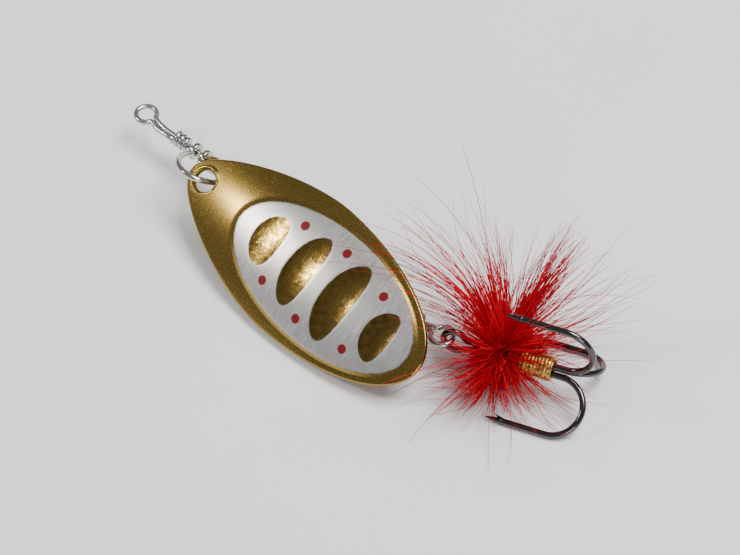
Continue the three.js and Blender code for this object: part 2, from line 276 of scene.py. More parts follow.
class Nodes:
    """Short calls for building a material's node tree."""

    def __init__(self, name):
        self.material = bpy.data.materials.new(name)
        self.material.use_nodes = True
        self.tree = self.material.node_tree
        self.shader = self.tree.nodes["Principled BSDF"]

    def add(self, kind, **values):
        """A new node; each value is one of its own settings, or goes to the input of that name."""
        node = self.tree.nodes.new(kind)
        for key, value in values.items():
            if hasattr(node, key):
                setattr(node, key, value)
            else:
                node.inputs[key.replace("_", " ")].default_value = value
        return node

    def plug(self, socket, value):
        if isinstance(value, bpy.types.NodeSocket):
            self.tree.links.new(value, socket)
        else:
            socket.default_value = value

    def attribute(self, name):
        """A vector attribute of the mesh, whole and as its three numbers."""
        vector = self.add("ShaderNodeAttribute", attribute_name=name).outputs["Vector"]
        parts = self.add("ShaderNodeSeparateXYZ")
        self.plug(parts.inputs[0], vector)
        return vector, *[parts.outputs[axis] for axis in "XYZ"]

    def math(self, operation, *values):
        node = self.add("ShaderNodeMath", operation=operation)
        for socket, value in zip(node.inputs, values):
            self.plug(socket, value)
        return node.outputs[0]

    def plus(self, a, b):
        return self.math("ADD", a, b)

    def minus(self, a, b):
        return self.math("SUBTRACT", a, b)

    def times(self, a, b):
        return self.math("MULTIPLY", a, b)

    def over(self, a, b):
        return self.math("DIVIDE", a, b)

    def mix(self, factor, a, b):
        """A colour between a and b."""
        node = self.add("ShaderNodeMix", data_type="RGBA")
        self.plug(node.inputs["Factor"], factor)
        self.plug(node.inputs[COLOUR_A], a)
        self.plug(node.inputs[COLOUR_B], b)
        return node.outputs[COLOUR_OUT]

    def blend(self, factor, a, b):
        """A number between a and b."""
        node = self.add("ShaderNodeMix")
        self.plug(node.inputs["Factor"], factor)
        self.plug(node.inputs[NUMBER_A], a)
        self.plug(node.inputs[NUMBER_B], b)
        return node.outputs[0]

    def noise(self, scale, detail, stretch=None, vector=None):
        """Noise by place on the object, or by the given vector."""
        node = self.add("ShaderNodeTexNoise", Scale=scale, Detail=detail)
        vector = vector or self.add("ShaderNodeTexCoord").outputs["Object"]
        if stretch:
            mapping = self.add("ShaderNodeMapping", Scale=stretch)
            self.plug(mapping.inputs["Vector"], vector)
            vector = mapping.outputs[0]
        self.plug(node.inputs["Vector"], vector)
        return node.outputs["Fac"]

    def ramp(self, value, low, high, out_low=0.0, out_high=1.0):
        node = self.add("ShaderNodeMapRange", clamp=True, From_Min=low, From_Max=high,
                        To_Min=out_low, To_Max=out_high)
        self.plug(node.inputs["Value"], value)
        return node.outputs[0]

    def bump(self, height, strength, distance):
        node = self.add("ShaderNodeBump", Strength=strength, Distance=distance)
        self.plug(node.inputs["Height"], height)
        self.plug(self.shader.inputs["Normal"], node.outputs[0])

    def surface(self, **values):
        for key, value in values.items():
            self.plug(self.shader.inputs[key.replace("_", " ")], value)
        return self.material


def colour(r, g, b):
    return (r, g, b, 1.0)


STEEL = colour(0.60, 0.60, 0.59)
STEEL_GLOSS = 0.2
STEEL_SHADE = colour(0.492, 0.492, 0.4838)
NICKEL, NICKEL_WORN, NICKEL_GLOSS = colour(0.60, 0.57, 0.51), colour(0.50, 0.46, 0.40), 0.14
BRASS, BRASS_WORN, BRASS_GLOSS = colour(0.64, 0.41, 0.095), colour(0.52, 0.32, 0.07), 0.17
BLACK, BLACK_WORN, BLACK_GLOSS = colour(0.10, 0.092, 0.09), colour(0.12, 0.11, 0.105), 0.13
GLASS = colour(0.42, 0.004, 0.008), colour(0.62, 0.012, 0.018)
THREAD = colour(0.36, 0.004, 0.008), colour(0.72, 0.015, 0.02)
THREAD_SHEEN = colour(1, 0.3, 0.3)
HAIR = colour(0.36, 0.0, 0.008), colour(0.93, 0.0, 0.022)
HAIR_TIP = colour(0.26, 0.0, 0.006)
HAIR_GLINT = colour(1, 0.25, 0.2)
TINSEL = colour(0.34, 0.22, 0.04), colour(0.78, 0.56, 0.16)
FLOOR = colour(0.92, 0.92, 0.92), colour(0.94, 0.94, 0.935)
GOLD = colour(0.31, 0.20, 0.047), colour(0.50, 0.35, 0.11)
# the windows' gold is the border's gold made about half as bright: painted shade for dark reflections
# in the windows; the two tones within it are mottle
SHADED_WINDOW_GOLD = colour(0.15, 0.092, 0.022), colour(0.30, 0.195, 0.052)
SILVER = colour(0.66, 0.64, 0.60), colour(0.80, 0.78, 0.735)
DOT_RED = colour(0.16, 0.0, 0.006)

# ---- the blade's finish, mm along from its hole and across ----
FIELD_CENTRE = 25.3
FIELD_HALF_LENGTH = 16.7
FIELD_HALF_WIDTH = 8.35
# each window: centre along, reach to each side, width along
WINDOWS = ((14.3, 4.0, 4.9), (21.4, 5.8, 4.7), (28.7, 6.4, 5.0), (36.6, 4.0, 4.2))
WINDOW_BOW = 0.6
WINDOW_SIDE = 1.9
WINDOW_TIP = 2.3
DOTS = ((17.6, 4.9), (25.3, 5.85), (33.7, 4.7))  # along, and out to each side
DOT_R = 0.7
FRAY = 0.05
FIELD_SOFT, WINDOW_SOFT, DOT_SOFT = 0.02, 0.05, 0.08
GRAIN_HEIGHT, BRUSHED_HEIGHT, MOTTLE_HEIGHT = 0.5, 0.3, 3.0


def plated(name, base, worn, roughness):
    """Plated or polished metal: fine grain in the gloss, small marks where it has been handled."""
    n = Nodes(name)
    marks = n.ramp(n.noise(scale=900, detail=6), low=0.52, high=0.72)
    n.bump(n.noise(scale=9000, detail=4), strength=0.25, distance=4e-6)
    rough = n.blend(marks, roughness, roughness * 1.9)
    return n.surface(Base_Color=n.mix(marks, base, worn), Metallic=1.0, Roughness=rough)


def drawn_wire(name, base, shaded, roughness):
    """Wire with faint lines along its length and uneven gloss."""
    n = Nodes(name)
    n.bump(n.noise(scale=2500, detail=2, stretch=(0.04, 1, 1)), strength=0.3, distance=6e-6)
    rough = n.ramp(n.noise(scale=700, detail=4), low=0.3, high=0.7, out_low=roughness * 0.7,
                   out_high=roughness * 1.6)
    shade = n.mix(n.ramp(n.noise(scale=400, detail=3), low=0.35, high=0.7), base, shaded)
    return n.surface(Base_Color=shade, Metallic=1.0, Roughness=rough)


def red_glass():
    n = Nodes("red_bead")
    shade = n.mix(n.ramp(n.noise(scale=300, detail=2), low=0.3, high=0.7), *GLASS)
    n.bump(n.noise(scale=1200, detail=2), strength=0.08, distance=1e-5)
    return n.surface(Base_Color=shade, Roughness=0.08, Transmission_Weight=0.55, IOR=1.5,
                     Coat_Weight=0.6, Coat_Roughness=0.04)


def thread_material():
    n = Nodes("red_thread")
    fibres = n.noise(scale=6000, detail=4, stretch=(1, 0.3, 0.3))
    n.bump(fibres, strength=0.5, distance=2e-5)
    shade = n.mix(n.ramp(fibres, low=0.3, high=0.7), *THREAD)
    return n.surface(Base_Color=shade, Roughness=0.5, Sheen_Weight=0.25, Sheen_Tint=THREAD_SHEEN)


def hair_material():
    """Dyed hair, darker at its tips. The strand attribute holds each strand's shade and the place
    along it."""
    n = Nodes("red_hair")
    _, strand_shade, along, _ = n.attribute("strand")
    shade = n.mix(strand_shade, *HAIR)
    tip = n.ramp(along, low=0.35, high=1.0, out_high=0.55)
    return n.surface(Base_Color=n.mix(tip, shade, HAIR_TIP), Roughness=0.5, Specular_IOR_Level=0.25,
                     Specular_Tint=HAIR_GLINT)


def tinsel_material():
    n = Nodes("gold_tinsel")
    facets = n.noise(scale=2600, detail=2)
    n.bump(facets, strength=0.6, distance=3e-5)
    shade = n.mix(n.ramp(facets, low=0.4, high=0.62), *TINSEL)
    rough = n.ramp(facets, low=0.3, high=0.7, out_low=0.18, out_high=0.42)
    return n.surface(Base_Color=shade, Metallic=1.0, Roughness=rough)


def floor_material():
    n = Nodes("floor")
    shade = n.mix(n.ramp(n.noise(scale=60, detail=3), low=0.3, high=0.7), *FLOOR)
    n.bump(n.noise(scale=4000, detail=3), strength=0.1, distance=2e-5)
    return n.surface(Base_Color=shade, Roughness=0.55)


def blade_material():
    """Gold plate. The outer side has a brushed silver field, with mottled gold windows and red dots.
    The blade attribute holds mm along from the hole, mm across, and 1 on the outer side."""
    n = Nodes("gold_blade")
    place, t, s, side = n.attribute("blade")
    s = n.math("ABSOLUTE", s)
    fray = n.times(n.minus(n.noise(scale=1500, detail=4), 0.5), FRAY)
    outer = n.math("GREATER_THAN", side, 0.5)

    def edge(distance, soft):
        """1 inside, where distance is below 1, and 0 outside."""
        frayed = n.plus(distance, fray)
        return n.ramp(frayed, low=1 - soft, high=1 + soft, out_low=1.0, out_high=0.0)

    along = n.over(n.minus(t, FIELD_CENTRE), FIELD_HALF_LENGTH)
    across = n.over(s, FIELD_HALF_WIDTH)
    field = edge(n.plus(n.times(along, along), n.times(across, across)), FIELD_SOFT)
    field = n.times(field, outer)

    window = 0.0
    for centre, reach, width in WINDOWS:
        across = n.math("POWER", n.over(s, reach), WINDOW_TIP)
        bowed = n.minus(n.minus(t, centre), n.times(across, WINDOW_BOW))
        along = n.math("POWER", n.over(n.math("ABSOLUTE", bowed), width / 2), WINDOW_SIDE)
        window = n.math("MAXIMUM", window, edge(n.plus(along, across), WINDOW_SOFT))
    window = n.times(window, outer)
    dot = 0.0
    for centre, out in DOTS:
        dt, ds = n.minus(t, centre), n.minus(s, out)
        far = n.math("SQRT", n.plus(n.times(dt, dt), n.times(ds, ds)))
        dot = n.math("MAXIMUM", dot, edge(n.over(far, DOT_R), DOT_SOFT))
    silver = n.times(field, n.minus(1.0, window))
    dot = n.times(dot, silver)

    speckle = n.ramp(n.noise(scale=6500, detail=5), low=0.56, high=0.72)
    mottle = n.ramp(n.noise(scale=1100, detail=3), low=0.38, high=0.64)
    brushed = n.noise(scale=6, detail=3, stretch=(1.0, 0.08, 1.0), vector=place)
    # the windows take the darker gold, which is painted shade; the mottle between its two tones is
    # the plate's own texture
    gold = n.mix(window, n.mix(speckle, *GOLD), n.mix(mottle, *SHADED_WINDOW_GOLD))
    paint = n.mix(dot, n.mix(silver, gold, n.mix(brushed, *SILVER)), DOT_RED)

    gold_rough = n.blend(window, n.blend(speckle, 0.22, 0.36), n.blend(mottle, 0.24, 0.13))
    silver_rough = n.ramp(brushed, low=0.3, high=0.7, out_low=0.30, out_high=0.42)
    rough = n.blend(dot, n.blend(silver, gold_rough, silver_rough), 0.35)

    grain = n.times(n.noise(scale=8000, detail=4), GRAIN_HEIGHT)
    height = n.plus(grain, n.times(brushed, BRUSHED_HEIGHT))
    height = n.plus(height, n.times(n.times(mottle, window), MOTTLE_HEIGHT))
    n.bump(height, strength=0.35, distance=8e-6)
    return n.surface(Base_Color=paint, Metallic=n.minus(1.0, dot), Roughness=rough)


# ---------------------------------------------------------------- shaft wire, mm
SHAFT_R = 0.4
SHAFT_SIDES = 18
EYE_R = 1.5
FRONT_NECK = 6.6
REAR_R = 1.6
REAR_NECK = 4.6
NECK_LEAD = 0.4
LOOP_GAP = 20
LOOP_TURN = 20
NECK_BEND = 1.6
RETURN_Y = 0.83
WRAP_LEAD = 0.7
WRAP_TURNS = 3
WRAP_PITCH = 0.84
WRAP_R = 0.78
WRAP_KNOTS = 12


def loop_end(centre_x, radius, neck, side):
    """From the shaft round the loop and into the wraps. side is 1 if the neck runs towards -X."""

    def at(back, y):
        return Vector((centre_x - side * back, y, 0))

    points = [at(neck + NECK_LEAD, 0), at(radius + NECK_BEND, 0)]
    for angle in range(180 - LOOP_GAP, LOOP_GAP - 181, -LOOP_TURN):
        a = math.radians(angle)
        points.append(at(-radius * math.cos(a), radius * math.sin(a)))
    points.append(at(radius + NECK_BEND, -RETURN_Y))
    for i in range(WRAP_TURNS * WRAP_KNOTS + 1):
        a = 2 * math.pi * i / WRAP_KNOTS + math.pi
        x = centre_x - side * (neck - WRAP_LEAD + WRAP_PITCH * i / WRAP_KNOTS)
        points.append(Vector((x, WRAP_R * math.cos(a), WRAP_R * math.sin(a))))
    return points


def build_shaft(material):
    line = loop_end(0, EYE_R, FRONT_NECK, -1)[::-1] + loop_end(rear.x, REAR_R, REAR_NECK, 1)
    shell = tube(spline(line, steps=5), SHAFT_R, SHAFT_SIDES)
    make_piece("shaft_wire_fine", [shell], material, "shaft", ["shaft_wire"])


# ---------------------------------------------------------------- clevis, mm
CLEVIS_R = 0.45
CLEVIS_SIDES = 20
EAR_X = (10.0, 11.9)
EAR_TOP = 0.95
EAR_R = 1.35
EAR_BORE_R = 0.58
EAR_THICKNESS = 0.7
EAR_EDGE_R = 0.22
EAR_SEGMENTS = 56
# along, and out from the shaft, from the front ear over the top and back to the rear one
BOW = ((EAR_X[0], EAR_TOP), (10.1, 2.6), (10.8, 4.9), (12.2, 6.6), (14.0, 7.3), (15.7, 6.9),
       (hole.x, math.hypot(hole.y, hole.z)), (17.4, 4.1), (17.1, 2.8), (15.8, 1.92), (13.9, 1.8),
       (12.3, 1.7), (EAR_X[1], EAR_TOP))


def build_clevis(material):
    path = spline([(x, rho, 0) for x, rho in BOW], steps=10)
    shells = [tube(path, CLEVIS_R, CLEVIS_SIDES)]
    half = EAR_THICKNESS / 2
    for x in EAR_X:
        front, back = x - half, x + half
        ring = ((front, EAR_BORE_R), (front, EAR_R), (back, EAR_R), (back, EAR_BORE_R))
        shells.append(lathe(rounded(ring, EAR_EDGE_R), EAR_SEGMENTS))
    place = Matrix.Rotation(math.atan2(hole.z, hole.y), 4, "X")
    make_piece("clevis_fine", shells, material, "clevis", ["clevis"], place)


# ---------------------------------------------------------------- blade, mm and degrees
BLADE_FRONT = 3.4
BLADE_LENGTH = 47.6
BLADE_HALF = BLADE_LENGTH / 2
BLADE_CENTRE = BLADE_HALF - BLADE_FRONT
BLADE_HALF_WIDTH = 10.5
BLADE_THICKNESS = 0.65
BLADE_CROWN = 2.3
BLADE_ARCH = 2.4
BLADE_EDGE_R = 0.28
BLADE_ROWS, BLADE_COLUMNS = 230, 110
SHOULDER_DIP = 0.32
SHOULDER_POWER = 1.5
BLADE_LEAN = 35
BLADE_YAW = 4.3
BLADE_LIFT = 0.6
RIM_R = 2.0
RIM_HALF_WIDTH = 0.42
RIM_HALF_HEIGHT = 0.62
RIM_SIDES, RIM_SEGMENTS = 24, 96
FIELD_STEP = 0.16
FIELD_SLOPE = 0.05
WINDOW_DEPTH = 0.2
DISH_POWER = 0.8

blade_place = (Matrix.Translation(hole) @ Matrix.Rotation(math.radians(BLADE_LEAN), 4, "X")
               @ Matrix.Rotation(math.radians(-BLADE_LIFT), 4, "Y")
               @ Matrix.Rotation(math.radians(-BLADE_YAW), 4, "Z"))


def window_reach(t, s, window):
    """0 on the window's middle, 1 on its edge."""
    centre, reach, width = window
    bowed = t - centre - WINDOW_BOW * (s / reach) ** 2
    return abs(2 * bowed / width) ** WINDOW_SIDE + abs(s / reach) ** WINDOW_TIP


def emboss(t, s):
    """The field stands a little proud of the gold border, and the windows are dished into it."""
    field = math.hypot((t - FIELD_CENTRE) / FIELD_HALF_LENGTH, s / FIELD_HALF_WIDTH)
    rise = FIELD_STEP * min(1.0, max(0.0, (1 + FIELD_SLOPE - field) / FIELD_SLOPE))
    dish = max(max(0.0, 1 - window_reach(t, s, window)) ** DISH_POWER for window in WINDOWS)
    return rise - WINDOW_DEPTH * dish


def blade_height(t, s):
    """The blade's middle surface above the plane of its hole."""
    arch = BLADE_ARCH * ((BLADE_CENTRE / BLADE_HALF) ** 2 - ((t - BLADE_CENTRE) / BLADE_HALF) ** 2)
    return arch - BLADE_CROWN * (s / BLADE_HALF_WIDTH) ** 2 + emboss(t, s)


def blade_half_width(theta):
    """Half the blade's width at theta, which runs from 0 at its front end to pi at its tail."""
    dip = SHOULDER_DIP * max(0.0, math.cos(theta)) ** SHOULDER_POWER
    return BLADE_HALF_WIDTH * math.sin(theta) * (1 - dip)


def blade_sheet():
    """The sheet as two layers that meet at the outline, open inside the rim of the hole."""
    verts, faces, open_cell = [], [], {}
    for side in (1, -1):
        for i in range(BLADE_ROWS + 1):
            theta = math.pi * i / BLADE_ROWS
            t = BLADE_CENTRE - BLADE_HALF * math.cos(theta)
            width = blade_half_width(theta)
            for j in range(BLADE_COLUMNS + 1):
                s = width * math.sin(math.pi * (j / BLADE_COLUMNS - 0.5))
                inset = min(width - abs(s), t + BLADE_FRONT, BLADE_LENGTH - BLADE_FRONT - t)
                bare = 1 - min(inset / BLADE_EDGE_R, 1)
                thick = BLADE_THICKNESS / 2 * math.sqrt(max(0.0, 1 - bare**2))
                verts.append(Vector((t, s, blade_height(t, s) + side * thick)))
    layer = (BLADE_ROWS + 1) * (BLADE_COLUMNS + 1)

    def at(i, j):
        return i * (BLADE_COLUMNS + 1) + j

    for i in range(BLADE_ROWS):
        for j in range(BLADE_COLUMNS):
            middle = (verts[at(i, j)] + verts[at(i + 1, j + 1)]) / 2
            open_cell[i, j] = math.hypot(middle.x, middle.y) < RIM_R
    for (i, j), is_open in open_cell.items():
        if is_open:
            continue
        quad = (at(i, j), at(i + 1, j), at(i + 1, j + 1), at(i, j + 1))
        faces.append(quad)
        faces.append(tuple(layer + k for k in quad[::-1]))
        for di, dj, a, b in ((-1, 0, 3, 0), (1, 0, 1, 2), (0, -1, 0, 1), (0, 1, 2, 3)):
            if open_cell.get((i + di, j + dj)):
                faces.append((quad[b], quad[a], layer + quad[a], layer + quad[b]))
    return verts, faces


def blade_rim():
    """The rolled rim of the hole, turned about X and then set upright."""
    profile = []
    for k in range(RIM_SIDES):
        a = 2 * math.pi * k / RIM_SIDES
        profile.append((RIM_HALF_HEIGHT * math.sin(a), RIM_R + RIM_HALF_WIDTH * math.cos(a)))
    verts, faces = lathe(profile, RIM_SEGMENTS)
    upright = Matrix.Rotation(-math.pi / 2, 4, "Y")
    return [upright @ v for v in verts], faces


def build_blade(material):
    """The blade, with the attribute that blade_material reads."""
    piece = make_piece("blade_fine", [blade_sheet(), blade_rim()], material, "blade", ["blade"],
                       blade_place)
    back = (Matrix.Scale(MM, 4) @ blade_place).inverted()
    where = piece.data.attributes.new("blade", "FLOAT_VECTOR", "POINT")
    for vertex in piece.data.vertices:
        t, s, z = back @ vertex.co
        outer = 1.0 if z > blade_height(t, s) else 0.0
        where.data[vertex.index].vector = (t, s, outer)


# ---------------------------------------------------------------- beads and threaded body, mm
BORE_R = 0.6
BEADS = (("bearing_bead_front", "brass"), ("bearing_bead_rear", "brass"),
         ("front_red_bead", "red_bead"), ("rear_red_bead", "red_bead"),
         ("rear_brass_bead", "brass"), ("tail_red_bead", "red_bead"))
BEAD_END = 0.95
BEAD_POWER = 0.6
BEAD_STEPS = 16
BEAD_SEGMENTS = 72
NOSE_LENGTH = 4.6
NOSE_R = (1.7, 2.0)
TAIL_LENGTH = 3.9
TAIL_R = (1.9, 1.6)
BODY_CHAMFER = 0.5
BODY_LAND = 0.6
BODY_EDGE_R = 0.2
BODY_SEGMENTS = 96
BODY_GROOVES = 4
GROOVE_DEPTH = 0.55
GROOVE_EDGE = 0.35
GROOVE_SLOPE = 0.4


def turned_size(node):
    """Both ends and the radius of a turned node of the frame, in mm."""
    low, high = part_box(node)
    return low.x / MM, high.x / MM, high.z / MM


def build_beads(brass, glass):
    for name, slot in BEADS:
        x0, x1, radius = turned_size(name)
        middle, half = (x0 + x1) / 2, (x1 - x0) / 2
        profile = [(x0, BORE_R)]
        for i in range(-BEAD_STEPS, BEAD_STEPS + 1):
            u = i / BEAD_STEPS
            bulge = (1 - BEAD_END * u * u) ** BEAD_POWER
            profile.append((middle + half * u, BORE_R + (radius - BORE_R) * bulge))
        profile.append((x1, BORE_R))
        material = brass if slot == "brass" else glass
        make_piece(name + "_fine", [lathe(profile, BEAD_SEGMENTS)], material, name, [name])


def build_body(material):
    x0, x1, radius = turned_size("brass_body")
    band_start, band_end = x0 + NOSE_LENGTH + BODY_LAND, x1 - TAIL_LENGTH - BODY_LAND
    pitch = (band_end - band_start) / BODY_GROOVES
    floor_r = radius - GROOVE_DEPTH
    profile = [(x0, BORE_R), (x0, NOSE_R[0]), (x0 + BODY_CHAMFER, NOSE_R[1]),
               (x0 + NOSE_LENGTH, radius)]
    for i in range(BODY_GROOVES):
        start = band_start + i * pitch + GROOVE_EDGE
        end = band_start + (i + 1) * pitch - GROOVE_EDGE
        profile += [(start, radius), (start + GROOVE_SLOPE, floor_r), (end - GROOVE_SLOPE, floor_r),
                    (end, radius)]
    profile += [(x1 - TAIL_LENGTH, radius), (x1 - BODY_CHAMFER, TAIL_R[0]), (x1, TAIL_R[1]),
                (x1, BORE_R)]
    shell = lathe(rounded(profile, BODY_EDGE_R), BODY_SEGMENTS)
    make_piece("brass_body_fine", [shell], material, "brass_body", ["brass_body"])


# ---------------------------------------------------------------- treble, mm along its shank
TREBLE_YAW = 23
HOOK_R = 0.475
HOOK_SIDES = 20
HOOK_EYE_R = 1.45
HOOK_EYE_SET = 0.3
HOOK_EYE_TURN = (-62, -352)
HOOK_EYE_STEPS = 16
HOOK_EYE_SPREAD = 0.92  # of the gap between the two shanks
EYE_ENTRY = (0.9, -0.15)  # ahead of the shank's start, and up
EYE_EXIT = (0.6, 0.1)
SHANK_OFFSET = 0.72
SHANK_START = 4.7
SHANK_KNOTS, SHANK_STEP = 6, 2.4
BEND_X = 18.15
BEND_R = 4.15
BEND_TURN = 12
LIMB_STEP = 2.2
POINT_X = 11.6
POINT_LENGTH = 2.4
POINT_OVERLAP = 0.3
POINT_STEPS = 12
POINT_TIP = 0.06  # of the wire's radius
TAPER_FROM, TAPER_POWER, TAPER_GAIN = 0.1, 1.4, 1.12
BARB_START, BARB_STEP = 0.25, 0.16
BARB_SET, BARB_LIFT = 0.30, 0.055
BARB_KNOTS = 9
BARB_R = 0.24
BARB_TAPER = 0.85
BARB_SIDES = 12
HOOK_ANGLES = (210, 330, 90)
SIDE_ANGLE = 30  # the double hook's shanks lie this far below level
BRAZE_X = (SHANK_START + 0.2, 8, 12, BEND_X - 1.5)
BRAZE_R = 0.42
BRAZE_SIDES = 14
HEAD_X = (6.4, 9.4)
HEAD_BORE_R = 1.3
# along, and out from the shank's middle
HEAD = ((HEAD_X[0], HEAD_BORE_R), (HEAD_X[0], 1.75), (HEAD_X[0] + 0.9, 2.2),
        (HEAD_X[1] - 0.5, 2.35), (HEAD_X[1], 2.1), (HEAD_X[1], HEAD_BORE_R))
HEAD_EDGE_R = 0.2
HEAD_SEGMENTS = 48
THREAD_R = 0.11
THREAD_SIDES = 8
THREAD_BASE, THREAD_SWELL, THREAD_POWER = 1.75, 0.62, 0.8
THREAD_SHARE = (0.12, 0.8)  # where the swell starts in its half wave, and how far it runs
THREAD_TURNS, THREAD_KNOTS = 17, 28
TINSEL_X = (11.6, 16.6)
TINSEL_CORE = (1.25, 1.6)
TINSEL_EDGE_R = 0.15
TINSEL_SEGMENTS = 40
RIBBON_INSET = 0.25
RIBBON_BASE, RIBBON_WAVE, RIBBON_WAVES = 1.70, 0.08, 9
RIBBON_TURNS, RIBBON_KNOTS = 9, 30
RIBBON_HALF_WIDTH, RIBBON_FLAT, RIBBON_SIDES = 0.3, 0.25, 10

treble_place = Matrix.Translation(rear) @ Matrix.Rotation(math.radians(TREBLE_YAW), 4, "Z")


def outward(point):
    """From the shank to the point, square to the shank."""
    return Vector((0, point.y, point.z))


def hook_line(angle):
    """One hook's wire, from the front of its shank round the bend to its point."""
    outer = SHANK_OFFSET + 2 * BEND_R
    line = [around(SHANK_START + SHANK_STEP * i, SHANK_OFFSET, angle) for i in range(SHANK_KNOTS)]
    for turn in range(0, 181, BEND_TURN):
        a = math.radians(turn)
        rho = SHANK_OFFSET + BEND_R * (1 - math.cos(a))
        line.append(around(BEND_X + BEND_R * math.sin(a), rho, angle))
    line += [around(BEND_X - LIMB_STEP * i, outer, angle) for i in (1, 2)]
    line.append(around(POINT_X, outer, angle))
    return line


def hook_point(angle):
    """Needle point with a small cut barb on the side of the shank."""
    outer = SHANK_OFFSET + 2 * BEND_R
    start = POINT_X + POINT_OVERLAP
    length = POINT_LENGTH + POINT_OVERLAP
    spike = [around(start - i * length / POINT_STEPS, outer, angle) for i in range(POINT_STEPS + 1)]
    barb = []
    for i in range(BARB_KNOTS):
        rho = outer - BARB_SET - BARB_LIFT * i
        barb.append(around(POINT_X + BARB_START - BARB_STEP * i, rho, angle))

    def spike_r(u):
        return HOOK_R * max(POINT_TIP, 1 - max(0.0, u - TAPER_FROM) ** TAPER_POWER * TAPER_GAIN)

    def barb_r(u):
        return BARB_R * (1 - BARB_TAPER * u)

    return [tube(spike, spike_r, HOOK_SIDES), tube(barb, barb_r, BARB_SIDES)]


def eye_ring():
    """The double hook's eye, one turn and a little less from one shank to the other."""
    centre = HOOK_EYE_SET + HOOK_EYE_R
    side = SHANK_OFFSET * math.cos(math.radians(SIDE_ANGLE))
    drop = -SHANK_OFFSET * math.sin(math.radians(SIDE_ANGLE))
    first, last = HOOK_EYE_TURN
    points = [Vector((SHANK_START - EYE_ENTRY[0], -side, drop + EYE_ENTRY[1]))]
    for i in range(HOOK_EYE_STEPS + 1):
        along = i / HOOK_EYE_STEPS
        a = math.radians(first + (last - first) * along)
        x, z = centre + HOOK_EYE_R * math.cos(a), HOOK_EYE_R * math.sin(a)
        points.append(Vector((x, side * (2 * along - 1) * HOOK_EYE_SPREAD, z)))
    points.append(Vector((SHANK_START - EYE_EXIT[0], side, drop + EYE_EXIT[1])))
    return points


def winding(start, end, rho, turns, knots):
    """Helix round the shank, with so many knots a turn. rho gives its radius at a position from 0
    to 1."""
    points = []
    for i in range(turns * knots + 1):
        u = i / (turns * knots)
        points.append(around(start + (end - start) * u, rho(u), 360 * i / knots))
    return points


def thread_rho(u):
    start, run = THREAD_SHARE
    wave = math.sin(math.pi * min(1.0, start + u * run))
    return THREAD_BASE + THREAD_SWELL * wave**THREAD_POWER


def ribbon_rho(u):
    return RIBBON_BASE + RIBBON_WAVE * math.sin(RIBBON_WAVES * u)


def build_treble(material, thread, tinsel):
    def ride_treble(name, shells, finish, replaced):
        make_piece(name, shells, finish, "treble", replaced, treble_place)

    left, right, top = HOOK_ANGLES
    line = hook_line(left)[::-1] + eye_ring() + hook_line(right)
    wire = tube(spline(line, steps=6), HOOK_R, HOOK_SIDES)
    shells = [wire, *hook_point(left), *hook_point(right)]
    ride_treble("double_hook_fine", shells, material, ["double_hook"])
    shells = [tube(spline(hook_line(top), steps=6), HOOK_R, HOOK_SIDES), *hook_point(top)]
    ride_treble("third_hook_fine", shells, material, ["third_hook"])
    braze = tube([around(x, 0, 0) for x in BRAZE_X], BRAZE_R, BRAZE_SIDES)
    ride_treble("braze_fillet", [braze], material, [])

    wound = winding(*HEAD_X, thread_rho, THREAD_TURNS, THREAD_KNOTS)
    head = lathe(rounded(HEAD, HEAD_EDGE_R), HEAD_SEGMENTS)
    shells = [head, tube(wound, THREAD_R, THREAD_SIDES)]
    ride_treble("thread_head_fine", shells, thread, ["thread_head"])

    x0, x1 = TINSEL_X
    bore, radius = TINSEL_CORE
    core = ((x0, bore), (x0, radius), (x1, radius), (x1, bore))
    start, end = x0 + RIBBON_INSET, x1 - RIBBON_INSET
    ribbon = winding(start, end, ribbon_rho, RIBBON_TURNS, RIBBON_KNOTS)
    shells = [lathe(rounded(core, TINSEL_EDGE_R), TINSEL_SEGMENTS),
              tube(ribbon, RIBBON_HALF_WIDTH, RIBBON_SIDES, RIBBON_FLAT, outward)]
    ride_treble("tinsel_wrap_fine", shells, tinsel, ["tinsel_wrap"])


# ---------------------------------------------------------------- hair, mm and degrees
SEED = 7
HAIR_ROOT_X = 9.0
ROOT_SCATTER = 0.5
ROOT_R = 1.3
HAIR_R = 0.08
HAIR_SIDES = 3
HAIR_TAPER = 0.65
HAIR_WANDER = 0.035
HAIR_SAG = 0.004
HAIR_SPLAY = 0.026
HAIR_MARGIN = 9.5
HAIR_CLEAR = 0.9
HAIR_STANDS = 7
HAIR_FAN = (-75, 330)
HAIR_TOP = 55
HAIR_LEANS = (24, 150)
LONG_AT_TOP = 0.38
STRAND_KNOTS = 6
LEAST_KNOTS = 3
KNOT_STEP = 2.5
FLOOR_PLAY = 0.3
FLOOR_BOUNCE = 0.2
GROWTH_THICKNESS = (0.75, 1.15)
LOCK_THICKNESS = (0.75, 1.1)
LOCK_LEAN_SPREAD = 0.8
LOCK_CURL = 0.012
# each growth: count in a stand, mean lean and its spread, shortest, longest and usual length, curl
# and thickness
GROWTHS = ((170, 86, 36, 2.5, 7.5, 5.5, 0.03, 1.0),
           (60, 88, 30, 6, 15, 9, 0.05, 0.95),
           (24, 97, 27, 13, 29, 21, 0.065, 0.8))
# each lock: angle, lean, their spread, count, shortest and longest length, sweep towards the top
LOCKS = ((40, 78, 5, 120, 10, 20, 0.035),
         (66, 116, 8, 70, 6, 12, 0.0),
         (50, 100, 8, 55, 9, 18, 0.01),
         (52, 128, 14, 42, 17, 30, -0.03),
         (186, 97, 11, 70, 5, 10, 0.0),
         (40, 40, 10, 16, 15, 24, 0.05),
         (205, 30, 9, 8, 9, 15, 0.0))

hair_low = Vector([(a - HAIR_MARGIN * MM) / MM for a in cad_box[0]])
hair_high = Vector([(a + HAIR_MARGIN * MM) / MM for a in cad_box[1]])


def near_blade(point):
    """Whether a point in the row frame is within HAIR_CLEAR of the blade's middle surface."""
    t, s, z = blade_place.inverted() @ point
    cosine = (BLADE_CENTRE - t) / BLADE_HALF
    if abs(cosine) >= 1 or abs(s) > blade_half_width(math.acos(cosine)) + HAIR_CLEAR:
        return False
    return abs(z - blade_height(t, s)) < HAIR_CLEAR


